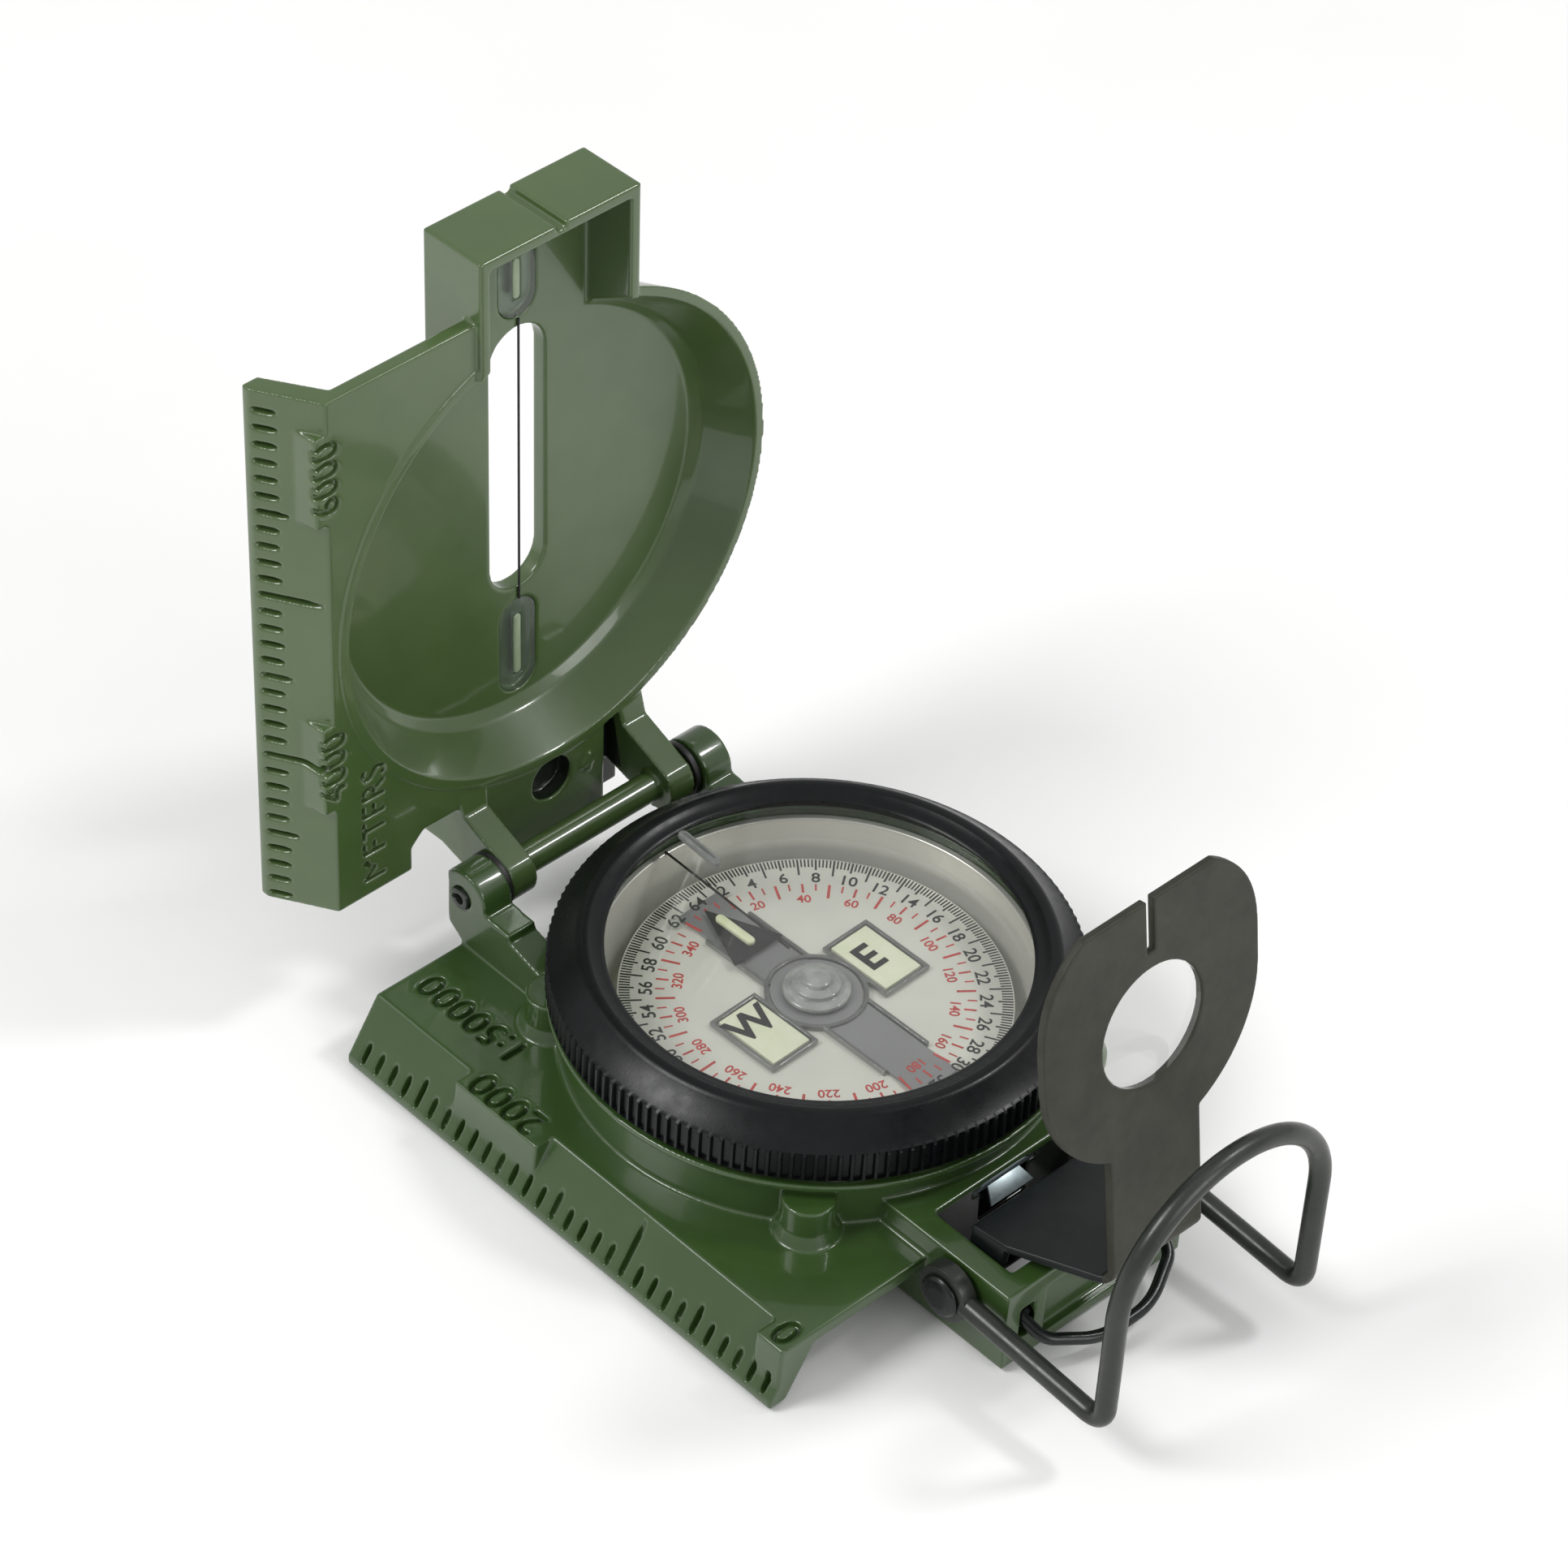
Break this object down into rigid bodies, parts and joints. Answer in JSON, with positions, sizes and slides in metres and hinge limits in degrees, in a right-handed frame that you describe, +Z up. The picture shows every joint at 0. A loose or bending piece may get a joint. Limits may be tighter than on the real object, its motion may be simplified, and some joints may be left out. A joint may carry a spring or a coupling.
{
  "type": "sighting compass",
  "caption": "Folding sighting compass: enamelled case with a map-scale edge, turning bezel over a floating dial, hinged slotted cover, folding lens sight and wire thumb loop.",
  "frame": {"origin": "on the flat underside of the case, on the axis of the dial", "axes": "+Z up through the dial, +Y from the lens sight towards the cover's hinge, -X towards the straight edge with the map scale"},
  "size_m": [0.0605, 0.1036, 0.0844],
  "materials": {
    "base_enamel": "glossy green enamel on a die casting",
    "cover_enamel": "glossy green enamel on a die casting",
    "black_plastic": "satin black",
    "dark_steel": "blackened steel",
    "phosphated_wire": "dark grey phosphate",
    "sheet_metal": "dark olive-grey satin coating",
    "well_metal": "bright, slightly warm",
    "brass": "turned",
    "dial_plate": "silvered, printed",
    "magnet_steel": "bare grey",
    "black_print": "black print",
    "luminous": "pale yellow-green luminous paint",
    "clear": "clear"
  },
  "bodies": {
    "case": {"base_casting": "base_enamel", "hinge_pin_left": "dark_steel", "hinge_pin_right": "dark_steel", "hinge_washer_left": "black_plastic", "hinge_washer_right": "black_plastic", "damping_well": "well_metal", "pivot_post": "brass", "fixed_crystal": "clear", "index_line": "black_print", "bezel_spring": "dark_steel", "sight_axle": "dark_steel"},
    "bezel": {"bezel_ring": "black_plastic", "bezel_glass": "clear", "bezel_lume_bar": "luminous"},
    "dial": {"dial_disc": "dial_plate", "dial_magnet": "magnet_steel", "dial_frame": "clear", "dial_jewel_cap": "clear", "dial_arrow": "black_print", "dial_arrow_lume": "luminous", "dial_east_pad": "luminous", "dial_west_pad": "luminous"},
    "cover": {"cover_casting": "cover_enamel", "sighting_wire": "dark_steel", "upper_resin": "clear", "lower_resin": "clear", "upper_vial": "luminous", "lower_vial": "luminous"},
    "sight": {"rear_sight_leaf": "sheet_metal", "rear_sight_lens": "clear"},
    "lock_lever": {"dial_lock_lever": "well_metal"},
    "loop": {"thumb_loop": "phosphated_wire"},
    "lanyard": {"lanyard_ring": "dark_steel"}
  },
  "joints": [
    {"name": "cover_hinge", "type": "hinge", "parent": "case", "child": "cover", "pos_m": [0, 0.0331, 0.0131], "axis": [1, 0, 0], "range_deg": [-87.9, 91.5]},
    {"name": "bezel_turn", "type": "hinge", "parent": "case", "child": "bezel", "pos_m": [0, 0, 0.017], "axis": [0, 0, 1], "continuous": true},
    {"name": "dial_swing", "type": "hinge", "parent": "case", "child": "dial", "pos_m": [0, 0, 0.013], "axis": [0, 0, 1], "continuous": true},
    {"name": "sight_fold", "type": "hinge", "parent": "case", "child": "sight", "pos_m": [0, -0.033, 0.007], "axis": [1, 0, 0], "range_deg": [-81.3, 11]},
    {"name": "lever_follow", "type": "hinge", "parent": "case", "child": "lock_lever", "pos_m": [0, -0.0262, 0.0086], "axis": [1, 0, 0], "range_deg": [-10, 59]},
    {"name": "loop_swing", "type": "hinge", "parent": "case", "child": "loop", "pos_m": [0, -0.033, 0.007], "axis": [1, 0, 0], "range_deg": [-15, 11]},
    {"name": "lanyard_swing", "type": "hinge", "parent": "case", "child": "lanyard", "pos_m": [0, -0.03835, 0.005], "axis": [1, 0, 0], "range_deg": [-68, 7]}
  ],
  "couplings": [
    {"joint": "lever_follow", "follows": "sight_fold", "ratio": -0.7}
  ]
}
